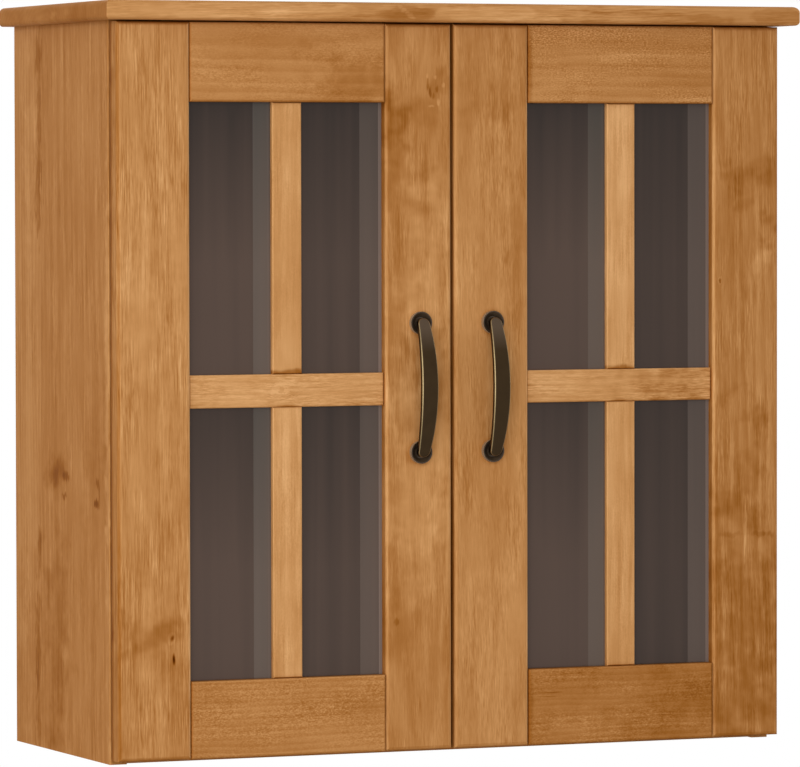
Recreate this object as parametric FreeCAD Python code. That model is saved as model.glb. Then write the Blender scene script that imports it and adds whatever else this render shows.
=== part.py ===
import FreeCAD, Part
import math
import os

# Wall cabinet with two glazed doors, in millimetres.
# +X is to the right, +Y points at the wall, +Z is up.
# The origin lies on the wall, midway between the two wall screws.

Vector = FreeCAD.Vector
X_AXIS = Vector(1, 0, 0)
Y_AXIS = Vector(0, 1, 0)
Z_AXIS = Vector(0, 0, 1)

# Carcass
carcass_width = 716.0
carcass_depth = 273.0
side_thickness = 18.0
side_drop = 4.5
side_round = 1.5
bottom_thickness = 18.0
bottom_recess = 1.0
top_thickness = 19.0
top_side_overhang = 16.0
top_front_overhang = 16.0
top_upper_round = 6.0
top_lower_round = 4.0
back_thickness = 6.0
back_rebate = 10.0
back_clearance = 0.3
back_screw_pitch = 150.0
back_screw_margin = 40.0

# Hanging rail and the wall screws that pass through it
hang_drop = 45.0
rail_height = 80.0
rail_thickness = 18.0
wall_screw_spacing = 450.0
wall_hole_radius = 3.0

# Shelf and its supports
shelf_thickness = 18.0
shelf_height = 337.0
shelf_end_clearance = 1.0
shelf_back_clearance = 1.0
shelf_setback = 22.0
support_radius = 2.5
support_depth = 9.0
support_reach = 10.0
support_pad_width = 8.0
support_pad_rise = 3.0
support_margin = 40.0
support_pitch = 32.0
support_rows_each_way = 2

# Dowels and cam fittings of the carcass
dowel_radius = 4.0
dowel_length = 30.0
dowel_short_end = 11.0
cam_margin = 45.0
dowel_margin = 80.0
rail_dowel_margin = 20.0
cam_radius = 7.5
cam_depth = 12.5
cam_bolt_radius = 3.5
cam_bolt_length = 34.0
cam_thread_radius = 2.5
cam_thread_length = 10.0
fit_clearance = 0.1

# Doors
door_height = 720.0
door_thickness = 22.0
door_gap = 3.0
top_gap = 1.2
meeting_gap = 3.0
meeting_offset = -3.0
left_hinge_stile_width = 76.0
left_handle_stile_width = 71.3
right_hinge_stile_width = 74.0
right_handle_stile_width = 80.7
top_rail_width = 78.0
bottom_rail_width = 76.0
stile_round = 4.0
stile_back_round = 3.5
rail_round = 2.5
tenon_length = 25.0
tenon_thickness = 7.0
tenon_setback = 4.0
tenon_shoulder = 14.0
tenon_clearance = 0.2

# Glass, glazing bars and beads
glass_setback = 10.0
glass_thickness = 4.0
glass_clearance = 0.8
glass_rebate = 8.0
bar_width = 31.0
cross_bar_width = 32.5
bar_thickness = 5.5
bar_round = 1.6
left_bar_offset = 0.3
right_bar_offset = -1.7
bead_chamfer = 2.0

# Concealed hinges
hinge_inset = 100.0
hinge_pin_from_edge = 8.0
hinge_pin_depth = 9.0
hinge_pin_radius = 1.5
knuckle_clearance = 0.05
pin_seat_clearance = 0.02
knuckle_radius = 2.75
knuckle_gap = 0.3
cup_radius = 17.5
cup_edge = 3.0
cup_depth = 13.5
cup_wall = 1.0
cup_bore_clearance = 0.05
rim_width = 0.5
flange_thickness = 1.0
flange_width = 19.0
flange_length = 62.0
flange_corner = 6.0
lug_thickness = 2.0
lug_radius = 2.8
arm_width = 10.0
arm_thickness = 2.0
arm_bend = 2.0
arm_setback = 58.0
plate_setback = 37.0
plate_thickness = 2.0
plate_wing_width = 12.0
plate_wing_length = 48.0
plate_rib_height = 4.0
plate_rib_width = 13.0
plate_rib_front = 12.0
plate_rib_back = 62.0
plate_screw_spacing = 32.0
cup_screw_spacing = 48.0
cup_screw_offset = 6.0
wood_screw_radius = 1.75
wood_screw_length = 13.0
wood_screw_head_radius = 3.3
wood_screw_head_height = 1.5
wood_screw_clearance = 0.05

# Bow handles, their rosettes and machine screws
handle_spacing = 128.0
handle_from_middle = 39.0
handle_reach = 27.5
handle_foot_reach = 12.0
handle_thickness = 4.5
handle_middle_width = 17.4
handle_foot_width = 12.6
handle_tip = 5.0
handle_edge_round = 1.4
handle_post_radius = 4.2
rosette_radius = 11.3
rosette_height = 5.0
rosette_rim = 1.0
rosette_floor = 1.4
rosette_floor_radius = 6.0
handle_screw_radius = 2.0
handle_screw_head_radius = 4.0
handle_screw_head_height = 2.2

# Magnetic catch, strike plates and bumpers
catch_width = 40.0
catch_height = 14.0
catch_depth = 30.0
magnet_width = 10.0
magnet_height = 8.0
magnet_depth = 12.0
magnet_proud = 1.5
magnet_from_middle = 11.0
catch_screw_setback = 22.0
catch_screw_spacing = 22.0
strike_width = 30.0
strike_height = 12.0
strike_thickness = 1.2
strike_edge = 4.0
strike_screw_edge = 7.0
bumper_radius = 4.0
bumper_edge = 38.0
bumper_rise = 6.5
bumper_clearance = 0.3

# Planes that the pieces share
half_width = carcass_width / 2
inner_face = half_width - side_thickness
carcass_front = -carcass_depth
door_back = carcass_front - door_gap
door_front = door_back - door_thickness
back_front = -back_thickness
top_under = hang_drop
door_top = top_under - top_gap
door_bottom = door_top - door_height
side_bottom = door_bottom - side_drop
bottom_under = side_bottom + bottom_recess
bottom_upper = bottom_under + bottom_thickness
bottom_middle = bottom_under + bottom_thickness / 2
shelf_under = bottom_upper + shelf_height
shelf_upper = shelf_under + shelf_thickness
shelf_front = carcass_front + shelf_setback
opening_bottom = door_bottom + bottom_rail_width
opening_top = door_top - top_rail_width
glass_front = door_front + glass_setback
glass_back = glass_front + glass_thickness
hinge_heights = [door_bottom + hinge_inset, door_top - hinge_inset]
hinge_pin_forward = door_gap + hinge_pin_depth
same_place = 1e-6

nodes = {}
cutters = {}


def box(low, high):
    size = high.sub(low)
    return Part.makeBox(size.x, size.y, size.z, low)


def rod(radius, start, end):
    along = end.sub(start)
    return Part.makeCylinder(radius, along.Length, start, along)


def mirrored(shape):
    return shape.mirror(Vector(0, 0, 0), X_AXIS)


def edges_on(shape, x=None, y=None, z=None):
    """Edges whose ends all lie at the given coordinates."""
    wanted = [(axis, value) for axis, value in (("x", x), ("y", y), ("z", z)) if value is not None]
    found = []
    for edge in shape.Edges:
        points = [vertex.Point for vertex in edge.Vertexes]
        if all(abs(getattr(point, axis) - value) < same_place for point in points for axis, value in wanted):
            found.append(edge)
    return found


def add(name, *solids):
    nodes.setdefault(name, []).extend(solids)


def bore(name, *tools):
    cutters.setdefault(name, []).extend(tools)


def dowel_joint(point, inward, short_board, long_board):
    """A dowel across the face between two boards; inward points into the long end's board."""
    start = point - inward * dowel_short_end
    end = start + inward * dowel_length
    add("carcass_dowels", rod(dowel_radius, start, end))
    hole = rod(dowel_radius + fit_clearance, start - inward * fit_clearance, end + inward * fit_clearance)
    bore(short_board, hole)
    bore(long_board, hole)


def cam_joint(point, inward, outward, cover, bolt_board, cam_board):
    """A cam bolt screwed into one board and drawn up by a cam lock in the other.

    inward points into the cam's board, outward to the face that the cam is let into, cover away.
    """
    thread_start = point - inward * cam_thread_length
    centre = point + inward * cam_bolt_length
    face_centre = centre + outward * cover
    bolt = rod(cam_thread_radius, thread_start, point).fuse(rod(cam_bolt_radius, point, centre))
    bolt_room = rod(cam_bolt_radius + fit_clearance, point, centre + inward * fit_clearance)
    cam = rod(cam_radius, face_centre, face_centre - outward * cam_depth)
    pocket_floor = face_centre - outward * (cam_depth + fit_clearance)
    pocket = rod(cam_radius + fit_clearance, face_centre, pocket_floor)
    add("cam_bolts", bolt.removeSplitter())
    add("cam_locks", cam.cut(bolt_room))
    bore(bolt_board, rod(cam_thread_radius + fit_clearance, thread_start - inward * fit_clearance, point))
    bore(cam_board, bolt_room, pocket)


def wood_screw(seat, inward, length):
    """A pan-head screw whose head stands on the seat; returns the screw and its pilot hole."""
    tip = seat + inward * length
    shank = rod(wood_screw_radius, seat, tip)
    head = rod(wood_screw_head_radius, seat - inward * wood_screw_head_height, seat)
    pilot = rod(wood_screw_radius + wood_screw_clearance, seat, tip + inward * fit_clearance)
    return shank.fuse(head).removeSplitter(), pilot


def evenly(first, last, pitch):
    """Positions from first to last, evenly spaced at about the pitch."""
    steps = max(1, round(abs(last - first) / pitch))
    return [first + (last - first) * step / steps for step in range(steps + 1)]


def build_top_board():
    front = door_front - top_front_overhang
    side = half_width + top_side_overhang
    upper = top_under + top_thickness
    board = box(Vector(-side, front, top_under), Vector(side, 0, upper))
    for level, radius in ((upper, top_upper_round), (top_under, top_lower_round)):
        rim = edges_on(board, y=front, z=level)
        rim += edges_on(board, x=-side, z=level)
        rim += edges_on(board, x=side, z=level)
        board = board.makeFillet(radius, rim)
    add("top_board", board)


def build_side_panels():
    panel = box(Vector(-half_width, carcass_front, side_bottom), Vector(-inner_face, 0, top_under))
    front_arrises = edges_on(panel, x=-half_width, y=carcass_front)
    front_arrises += edges_on(panel, x=-inner_face, y=carcass_front)
    panel = panel.makeFillet(side_round, front_arrises)
    rebate_low = Vector(-inner_face - back_rebate, back_front, side_bottom)
    panel = panel.cut(box(rebate_low, Vector(-inner_face, 0, top_under)))
    add("left_side_panel", panel)
    add("right_side_panel", mirrored(panel))


def build_bottom_board():
    low = Vector(-inner_face, carcass_front, bottom_under)
    add("bottom_board", box(low, Vector(inner_face, back_front, bottom_upper)))


def build_back_panel():
    reach = inner_face + back_rebate - back_clearance
    add("back_panel", box(Vector(-reach, back_front, bottom_under), Vector(reach, 0, top_under)))
    side_line = inner_face + back_rebate / 2
    side_screws = evenly(bottom_under + back_screw_margin, top_under - back_screw_margin, back_screw_pitch)
    bottom_line = inner_face - back_screw_margin
    places = [(x, z) for x in (-side_line, side_line) for z in side_screws]
    places += [(x, bottom_middle) for x in evenly(-bottom_line, bottom_line, back_screw_pitch)]
    for x, z in places:
        seat = Vector(x, -wood_screw_head_height, z)
        screw, pilot = wood_screw(seat, -Y_AXIS, wood_screw_length)
        recess = rod(wood_screw_head_radius + fit_clearance, seat, Vector(x, 0, z))
        add("back_panel_screws", screw)
        bore("back_panel", pilot, recess)
        if abs(x) < inner_face:
            bore("bottom_board", pilot)
        elif x < 0:
            bore("left_side_panel", pilot)
        else:
            bore("right_side_panel", pilot)


def build_hanging_rail():
    front = back_front - rail_thickness
    low = top_under - rail_height
    add("hanging_rail", box(Vector(-inner_face, front, low), Vector(inner_face, back_front, top_under)))
    for side in (-1, 1):
        x = side * wall_screw_spacing / 2
        hole = rod(wall_hole_radius, Vector(x, front, 0), Vector(x, 0, 0))
        bore("hanging_rail", hole)
        bore("back_panel", hole)


def build_shelf():
    end = inner_face - shelf_end_clearance
    back = back_front - shelf_back_clearance
    add("shelf", box(Vector(-end, shelf_front, shelf_under), Vector(end, back, shelf_upper)))
    columns = [shelf_front + support_margin, back - support_margin]
    pin_level = shelf_under - support_pad_rise
    for y in columns:
        face = Vector(-inner_face, y, pin_level)
        inner_end = face + X_AXIS * support_reach
        pin = rod(support_radius, face - X_AXIS * support_depth, inner_end)
        pad_low = face - Y_AXIS * (support_pad_width / 2)
        pad_high = inner_end + Y_AXIS * (support_pad_width / 2) + Z_AXIS * support_pad_rise
        support = pin.fuse(box(pad_low, pad_high)).removeSplitter()
        add("shelf_supports", support, mirrored(support))
        for row in range(-support_rows_each_way, support_rows_each_way + 1):
            mouth = face + Z_AXIS * (row * support_pitch)
            bottom = mouth - X_AXIS * (support_depth + fit_clearance)
            hole = rod(support_radius + fit_clearance, bottom, mouth)
            bore("left_side_panel", hole)
            bore("right_side_panel", mirrored(hole))


def build_carcass_joints():
    for side, panel in ((-1, "left_side_panel"), (1, "right_side_panel")):
        inward = X_AXIS * -side
        face = side * inner_face
        middle = side * (half_width - side_thickness / 2)
        for y in (carcass_front + cam_margin, back_front - cam_margin):
            cam_joint(Vector(face, y, bottom_middle), inward, -Z_AXIS, bottom_thickness / 2,
                      panel, "bottom_board")
            cam_joint(Vector(middle, y, top_under), -Z_AXIS, inward, side_thickness / 2,
                      "top_board", panel)
        for y in (carcass_front + dowel_margin, back_front - dowel_margin):
            dowel_joint(Vector(face, y, bottom_middle), inward, panel, "bottom_board")
            dowel_joint(Vector(middle, y, top_under), -Z_AXIS, "top_board", panel)
        rail_middle = back_front - rail_thickness / 2
        for z in (top_under - rail_dowel_margin, top_under - rail_height + rail_dowel_margin):
            dowel_joint(Vector(face, rail_middle, z), inward, panel, "hanging_rail")


def build_catch():
    middle = meeting_offset
    front = carcass_front
    housing_low = Vector(middle - catch_width / 2, front, top_under - catch_height)
    housing_high = Vector(middle + catch_width / 2, front + catch_depth, top_under)
    housing = box(housing_low, housing_high)
    magnet_level = top_under - catch_height / 2
    for side in (-1, 1):
        x = middle + side * magnet_from_middle
        low = Vector(x - magnet_width / 2, front - magnet_proud, magnet_level - magnet_height / 2)
        magnet = box(low, low + Vector(magnet_width, magnet_depth, magnet_height))
        housing = housing.cut(magnet)
        add("catch_magnets", magnet)
        seat = Vector(middle + side * catch_screw_spacing / 2, front + catch_screw_setback, housing_low.z)
        screw, hole = wood_screw(seat, Z_AXIS, catch_height + top_thickness / 2)
        add("catch_screws", screw)
        housing = housing.cut(hole)
        bore("top_board", hole)
    add("magnetic_catch", housing)


def build_bumpers():
    for side in (-1, 1):
        base = Vector(meeting_offset + side * bumper_edge, carcass_front, door_bottom + bumper_rise)
        add("door_bumpers", rod(bumper_radius, base, base - Y_AXIS * (door_gap - bumper_clearance)))


def hinge_point(from_edge, forward, z):
    """A point by its distance from the side panel's outer face and in front of the carcass."""
    return Vector(-half_width + from_edge, carcass_front - forward, z)


def hinge_cup(z):
    """Cup, rim and flange pressed in one piece, with two lugs that hold the pin."""
    centre = cup_edge + cup_radius
    mouth = hinge_point(centre, door_gap, z)
    rim = hinge_point(centre, door_gap - flange_thickness, z)
    floor = hinge_point(centre, door_gap + cup_depth - cup_bore_clearance, z)
    inner_floor = floor + Y_AXIS * cup_wall
    flange_low = rim + Vector(-flange_width / 2, -flange_thickness, -flange_length / 2)
    flange = box(flange_low, flange_low + Vector(flange_width, flange_thickness, flange_length))
    corners = []
    for x in (flange_low.x, flange_low.x + flange_width):
        for level in (flange_low.z, flange_low.z + flange_length):
            corners += edges_on(flange, x=x, z=level)
    flange = flange.makeFillet(flange_corner, corners)
    shell = rod(cup_radius - cup_bore_clearance, mouth, floor)
    shell = shell.fuse(rod(cup_radius + rim_width, rim, mouth)).fuse(flange)
    inside = rod(cup_radius - cup_bore_clearance - cup_wall, rim, inner_floor)
    cup = shell.cut(inside)
    pin = hinge_point(hinge_pin_from_edge, hinge_pin_forward, z)
    lug_start = arm_width / 2 + knuckle_gap
    outside = rod(cup_radius - cup_bore_clearance, mouth, floor)
    for side in (-1, 1):
        near = pin + Z_AXIS * (side * lug_start)
        far = near + Z_AXIS * (side * lug_thickness)
        foot_low = Vector(near.x - lug_radius, inner_floor.y, min(near.z, far.z))
        foot_high = Vector(near.x + lug_radius, pin.y, max(near.z, far.z))
        lug = rod(lug_radius, near, far).fuse(box(foot_low, foot_high))
        cup = cup.fuse(lug.common(outside))
    pin_reach = Z_AXIS * cup_radius
    pin_hole = rod(hinge_pin_radius + pin_seat_clearance, pin - pin_reach, pin + pin_reach)
    lug_room = rod(cup_radius - cup_bore_clearance - cup_wall / 2, rim, inner_floor)
    return cup.cut(pin_hole.common(lug_room)).removeSplitter()


def hinge_pin(z):
    pin = hinge_point(hinge_pin_from_edge, hinge_pin_forward, z)
    half = Z_AXIS * (arm_width / 2 + knuckle_gap + lug_thickness)
    return rod(hinge_pin_radius, pin - half, pin + half)


def hinge_arm(z):
    """Cranked strip from the mounting plate into the cup, rolled to a knuckle round the pin."""
    base = side_thickness + plate_rib_height
    low = z - arm_width / 2
    outer = base + arm_thickness
    near = hinge_pin_forward - arm_thickness / 2
    far = hinge_pin_forward + arm_thickness / 2
    outline = [(hinge_pin_from_edge, near), (base, near), (base, -arm_setback), (outer, -arm_setback),
               (outer, far), (hinge_pin_from_edge, far)]
    points = [hinge_point(from_edge, forward, low) for from_edge, forward in outline]
    strip = Part.Face(Part.makePolygon(points + points[:1])).extrude(Z_AXIS * arm_width)
    bend_edges = edges_on(strip, x=points[4].x, y=points[4].y)
    strip = strip.makeFillet(arm_bend, bend_edges)
    pin = hinge_point(hinge_pin_from_edge, hinge_pin_forward, low)
    top = pin + Z_AXIS * arm_width
    arm = strip.fuse(rod(knuckle_radius, pin, top))
    return arm.cut(rod(hinge_pin_radius + knuckle_clearance, pin, top)).removeSplitter()


def hinge_plate(z):
    """Mounting plate with two wings and a rib under the arm."""
    face = side_thickness
    wing_low = hinge_point(face, -plate_setback + plate_wing_width / 2, z - plate_wing_length / 2)
    wing = box(wing_low, wing_low + Vector(plate_thickness, plate_wing_width, plate_wing_length))
    rib_low = hinge_point(face, -plate_rib_front, z - plate_rib_width / 2)
    rib_length = plate_rib_back - plate_rib_front
    rib = box(rib_low, rib_low + Vector(plate_rib_height, rib_length, plate_rib_width))
    return wing.fuse(rib).removeSplitter()


def build_hinges():
    for z in hinge_heights:
        plate = hinge_plate(z)
        for side in (-1, 1):
            plate_seat = hinge_point(side_thickness + plate_thickness, -plate_setback,
                                     z + side * plate_screw_spacing / 2)
            screw, pilot = wood_screw(plate_seat, -X_AXIS, wood_screw_length)
            plate = plate.cut(pilot)
            add("left_plate_screws", screw)
            add("right_plate_screws", mirrored(screw))
            bore("left_side_panel", pilot)
            bore("right_side_panel", mirrored(pilot))
        arm = hinge_arm(z)
        add("left_hinge_plates", plate)
        add("right_hinge_plates", mirrored(plate))
        add("left_hinge_arms", arm)
        add("right_hinge_arms", mirrored(arm))


def handle_bow(x, z):
    """Flat bow: an arched side profile cut to a front outline that widens in the middle."""
    half_spacing = handle_spacing / 2
    rise = handle_reach - handle_foot_reach
    radius = (half_spacing ** 2 + rise ** 2) / (2 * rise)
    arc_centre = handle_reach - radius
    tip = half_spacing + handle_tip
    tip_reach = arc_centre + math.sqrt(radius ** 2 - tip ** 2)
    inner_tip_reach = arc_centre + math.sqrt((radius - handle_thickness) ** 2 - tip ** 2)

    def side(along, reach):
        return Vector(x - handle_middle_width, door_front - reach, z + along)

    profile = Part.Wire([
        Part.Arc(side(-tip, tip_reach), side(0, handle_reach), side(tip, tip_reach)).toShape(),
        Part.makeLine(side(tip, tip_reach), side(tip, inner_tip_reach)),
        Part.Arc(side(tip, inner_tip_reach), side(0, handle_reach - handle_thickness),
                 side(-tip, inner_tip_reach)).toShape(),
        Part.makeLine(side(-tip, inner_tip_reach), side(-tip, tip_reach)),
    ])
    arch = Part.Face(profile).extrude(X_AXIS * (2 * handle_middle_width))

    def front(across, along):
        return Vector(x + across, door_front, z + along)

    middle = handle_middle_width / 2
    end = handle_foot_width / 2
    shoulder = tip - end
    outline = Part.Wire([
        Part.Arc(front(-end, -shoulder), front(-middle, 0), front(-end, shoulder)).toShape(),
        Part.Arc(front(-end, shoulder), front(0, tip), front(end, shoulder)).toShape(),
        Part.Arc(front(end, shoulder), front(middle, 0), front(end, -shoulder)).toShape(),
        Part.Arc(front(end, -shoulder), front(0, -tip), front(-end, -shoulder)).toShape(),
    ])
    bow = arch.common(Part.Face(outline).extrude(-Y_AXIS * (handle_reach + handle_thickness)))
    outer_face = min(bow.Faces, key=lambda face: face.CenterOfMass.y)
    return bow.makeFillet(handle_edge_round, outer_face.Edges)


def build_handle(x, z, prefix, stile):
    """Handle with its posts, rosettes and screws."""
    bow = handle_bow(x, z)
    post_top = handle_foot_reach - handle_thickness / 2
    for end in (-1, 1):
        level = z + end * handle_spacing / 2
        floor = Vector(x, door_front - rosette_floor, level)
        tip = Vector(x, door_front - post_top, level)
        seat = Vector(x, door_back, level)
        bow = bow.fuse(rod(handle_post_radius, floor, tip))
        section = [(0, 0), (rosette_radius, 0), (rosette_radius, rosette_height),
                   (rosette_radius - rosette_rim, rosette_height),
                   (rosette_floor_radius, rosette_floor), (0, rosette_floor)]
        points = [Vector(x + across, door_front - reach, level) for across, reach in section]
        disc = Part.Face(Part.makePolygon(points + points[:1]))
        rosette = disc.revolve(points[0], Y_AXIS, 360)
        shank = rod(handle_screw_radius, seat, tip)
        head = rod(handle_screw_head_radius, seat + Y_AXIS * handle_screw_head_height, seat)
        hole = rod(handle_screw_radius + fit_clearance, seat, tip - Y_AXIS * fit_clearance)
        bow = bow.cut(hole)
        add(prefix + "rosettes", rosette.cut(hole))
        add(prefix + "handle_screws", shank.fuse(head).removeSplitter())
        bore(stile, hole)
    add(prefix + "handle", bow.removeSplitter())


def rounded_stick(low, high, radius):
    """A door member with its front arrises rounded over."""
    stick = box(low, high)
    return stick.makeFillet(radius, edges_on(stick, y=low.y))


def tenoned_rail(x0, x1, low, high, shoulder_top, shoulder_bottom):
    rail = rounded_stick(Vector(x0, door_front, low), Vector(x1, door_back, high), rail_round)
    tenon_low = Vector(x0 - tenon_length, door_front + tenon_setback, low + shoulder_bottom)
    tenon_high = Vector(x1 + tenon_length, tenon_low.y + tenon_thickness, high - shoulder_top)
    room = Vector(tenon_clearance, tenon_clearance, tenon_clearance)
    return rail.fuse(box(tenon_low, tenon_high)), box(tenon_low - room, tenon_high + room)


def build_glazing(prefix, x0, x1, pocket_low, pocket_high, bar_offset):
    """Pane, beads behind it and the three bars on its face, inside the frame's opening."""
    gap = Vector(glass_clearance, 0, glass_clearance)
    pane_high = Vector(pocket_high.x, glass_back, pocket_high.z)
    add(prefix + "glass", box(pocket_low + gap, pane_high - gap))
    inner_low = pocket_low.z + glass_rebate
    inner_high = pocket_high.z - glass_rebate
    beads = [
        (pocket_low.x, pocket_low.x + glass_rebate, pocket_low.z, pocket_high.z, x0, None),
        (pocket_high.x - glass_rebate, pocket_high.x, pocket_low.z, pocket_high.z, x1, None),
        (x0, x1, pocket_low.z, inner_low, None, inner_low),
        (x0, x1, inner_high, pocket_high.z, None, inner_high),
    ]
    for left, right, low, high, arris_x, arris_z in beads:
        bead = box(Vector(left, glass_back, low), Vector(right, door_back, high))
        arris = edges_on(bead, x=arris_x, y=door_back, z=arris_z)
        add(prefix + "glazing_beads", bead.makeChamfer(bead_chamfer, arris))
    bar_front = glass_front - bar_thickness
    middle_z = (opening_bottom + opening_top) / 2
    cross_low = middle_z - cross_bar_width / 2
    cross_high = middle_z + cross_bar_width / 2
    bar_left = (x0 + x1 - bar_width) / 2 + bar_offset
    bar_right = bar_left + bar_width
    bars = {
        "cross_bar": (x0, cross_low, x1, cross_high),
        "upper_bar": (bar_left, cross_high, bar_right, opening_top),
        "lower_bar": (bar_left, opening_bottom, bar_right, cross_low),
    }
    for name, (left, low, right, high) in bars.items():
        bar = rounded_stick(Vector(left, bar_front, low), Vector(right, glass_front, high), bar_round)
        add(prefix + name, bar)


def build_door(prefix, width, hinge_stile_width, handle_stile_width, handle_x, bar_offset):
    """A door hung on the left side panel; names are given the prefix."""
    hinge_edge = -half_width
    handle_edge = hinge_edge + width
    x0 = hinge_edge + hinge_stile_width
    x1 = handle_edge - handle_stile_width
    hinge_stile = rounded_stick(Vector(hinge_edge, door_front, door_bottom),
                                Vector(x0, door_back, door_top), stile_round)
    hinge_stile = hinge_stile.makeFillet(stile_back_round, edges_on(hinge_stile, x=hinge_edge, y=door_back))
    handle_stile = rounded_stick(Vector(x1, door_front, door_bottom),
                                 Vector(handle_edge, door_back, door_top), stile_round)
    top_rail, top_mortise = tenoned_rail(x0, x1, opening_top, door_top, tenon_shoulder, tenon_shoulder)
    bottom_rail, bottom_mortise = tenoned_rail(x0, x1, door_bottom, opening_bottom,
                                               tenon_shoulder, tenon_shoulder)
    pocket_low = Vector(x0 - glass_rebate, glass_front, opening_bottom - glass_rebate)
    pocket_high = Vector(x1 + glass_rebate, door_back, opening_top + glass_rebate)
    pocket = box(pocket_low, pocket_high)
    add(prefix + "hinge_stile", hinge_stile)
    add(prefix + "handle_stile", handle_stile)
    add(prefix + "top_rail", top_rail)
    add(prefix + "bottom_rail", bottom_rail)
    for stile in ("hinge_stile", "handle_stile"):
        bore(prefix + stile, top_mortise, bottom_mortise, pocket)
    for rail in ("top_rail", "bottom_rail"):
        bore(prefix + rail, pocket)
    build_glazing(prefix, x0, x1, pocket_low, pocket_high, bar_offset)
    for z in hinge_heights:
        cup = hinge_cup(z)
        centre = hinge_point(cup_edge + cup_radius, door_gap, z)
        bore(prefix + "hinge_stile", rod(cup_radius, centre, centre - Y_AXIS * cup_depth))
        for side in (-1, 1):
            seat = centre + Vector(cup_screw_offset, flange_thickness, side * cup_screw_spacing / 2)
            screw, pilot = wood_screw(seat, -Y_AXIS, wood_screw_length)
            cup = cup.cut(pilot)
            add(prefix + "cup_screws", screw)
            bore(prefix + "hinge_stile", pilot)
        add(prefix + "hinge_cups", cup)
        add(prefix + "hinge_pins", hinge_pin(z))
    handle_z = (door_bottom + door_top) / 2
    build_handle(handle_x, handle_z, prefix, prefix + "handle_stile")
    build_strike(prefix, handle_edge)


def build_strike(prefix, handle_edge):
    """Steel plate that the catch's magnet holds, screwed to the back of the handle stile."""
    level = top_under - catch_height / 2
    low = Vector(handle_edge - strike_edge - strike_width, door_back, level - strike_height / 2)
    plate = box(low, low + Vector(strike_width, strike_thickness, strike_height))
    seat = Vector(low.x + strike_screw_edge, door_back + strike_thickness, level)
    screw, pilot = wood_screw(seat, -Y_AXIS, wood_screw_length)
    add(prefix + "strike_plate", plate.cut(pilot))
    add(prefix + "strike_screw", screw)
    bore(prefix + "handle_stile", pilot)


def mirror_nodes(prefix):
    for name in list(nodes):
        if name.startswith(prefix):
            nodes[name] = [mirrored(solid) for solid in nodes[name]]
            cutters[name] = [mirrored(tool) for tool in cutters.get(name, [])]


def build_doors():
    build_door("right_", half_width - meeting_offset - meeting_gap / 2,
               right_hinge_stile_width, right_handle_stile_width, -handle_from_middle, right_bar_offset)
    mirror_nodes("right_")
    build_door("left_", half_width + meeting_offset - meeting_gap / 2,
               left_hinge_stile_width, left_handle_stile_width, -handle_from_middle, left_bar_offset)


def export():
    os.makedirs("parts", exist_ok=True)
    for name, solids in nodes.items():
        tools = cutters.get(name, [])
        if tools:
            solids = [solid.cut(tools) for solid in solids]
        pieces = [piece for solid in solids for piece in solid.Solids]
        shape = pieces[0] if len(pieces) == 1 else Part.makeCompound(pieces)
        shape.exportStep("parts/" + name + ".step")
        print(name, len(pieces), "solids", round(shape.Volume / 1000, 2), "cm3", shape.isValid())


build_doors()
build_top_board()
build_side_panels()
build_bottom_board()
build_back_panel()
build_hanging_rail()
build_shelf()
build_carcass_joints()
build_catch()
build_bumpers()
build_hinges()
export()
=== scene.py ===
import bpy
import math
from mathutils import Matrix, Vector


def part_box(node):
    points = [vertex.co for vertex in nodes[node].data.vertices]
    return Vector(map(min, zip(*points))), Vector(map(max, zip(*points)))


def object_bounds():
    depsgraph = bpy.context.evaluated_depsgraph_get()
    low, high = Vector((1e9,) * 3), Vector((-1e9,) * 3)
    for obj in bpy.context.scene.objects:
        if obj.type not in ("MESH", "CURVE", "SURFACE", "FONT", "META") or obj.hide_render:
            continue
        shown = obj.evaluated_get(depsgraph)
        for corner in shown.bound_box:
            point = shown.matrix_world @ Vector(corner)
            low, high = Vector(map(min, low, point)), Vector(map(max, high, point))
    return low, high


# Wall cabinet in waxed pine with two glazed doors. Metres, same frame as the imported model.
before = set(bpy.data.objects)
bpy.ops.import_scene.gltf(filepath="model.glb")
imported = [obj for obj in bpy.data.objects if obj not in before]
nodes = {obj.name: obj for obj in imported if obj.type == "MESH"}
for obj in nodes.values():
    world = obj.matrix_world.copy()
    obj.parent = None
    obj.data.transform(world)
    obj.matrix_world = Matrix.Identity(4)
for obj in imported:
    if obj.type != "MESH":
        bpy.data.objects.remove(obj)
cadLow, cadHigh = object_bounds()
mm = 0.001
print("frame loaded:", len(nodes), "pieces")


def hexToLinear(code):
    channels = [int(code[i:i + 2], 16) / 255 for i in (1, 3, 5)]
    linear = [c / 12.92 if c <= 0.04045 else ((c + 0.055) / 1.055) ** 2.4 for c in channels]
    return (*linear, 1.0)


def perMetre(size):  # texture scale for a pattern of this size in mm
    return 1000.0 / size


# An input takes a value or another node's socket. It goes by the socket's name, or by _ and its number.
def addNode(tree, kind, settings=None, **inputs):
    node = tree.nodes.new(kind)
    for name, value in (settings or {}).items():
        setattr(node, name, value)
    for name, value in inputs.items():
        key = int(name[1:]) if name[1:].isdigit() else name.replace("_", " ")
        if isinstance(value, bpy.types.NodeSocket):
            tree.links.new(value, node.inputs[key])
        else:
            node.inputs[key].default_value = value
    return node


def newMaterial(name):
    material = bpy.data.materials.new(name)
    material.use_nodes = True
    tree = material.node_tree
    tree.nodes.clear()
    return material, tree


def dress(nodeName, material):
    for slot in nodes[nodeName].material_slots:
        slot.material = material


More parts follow.
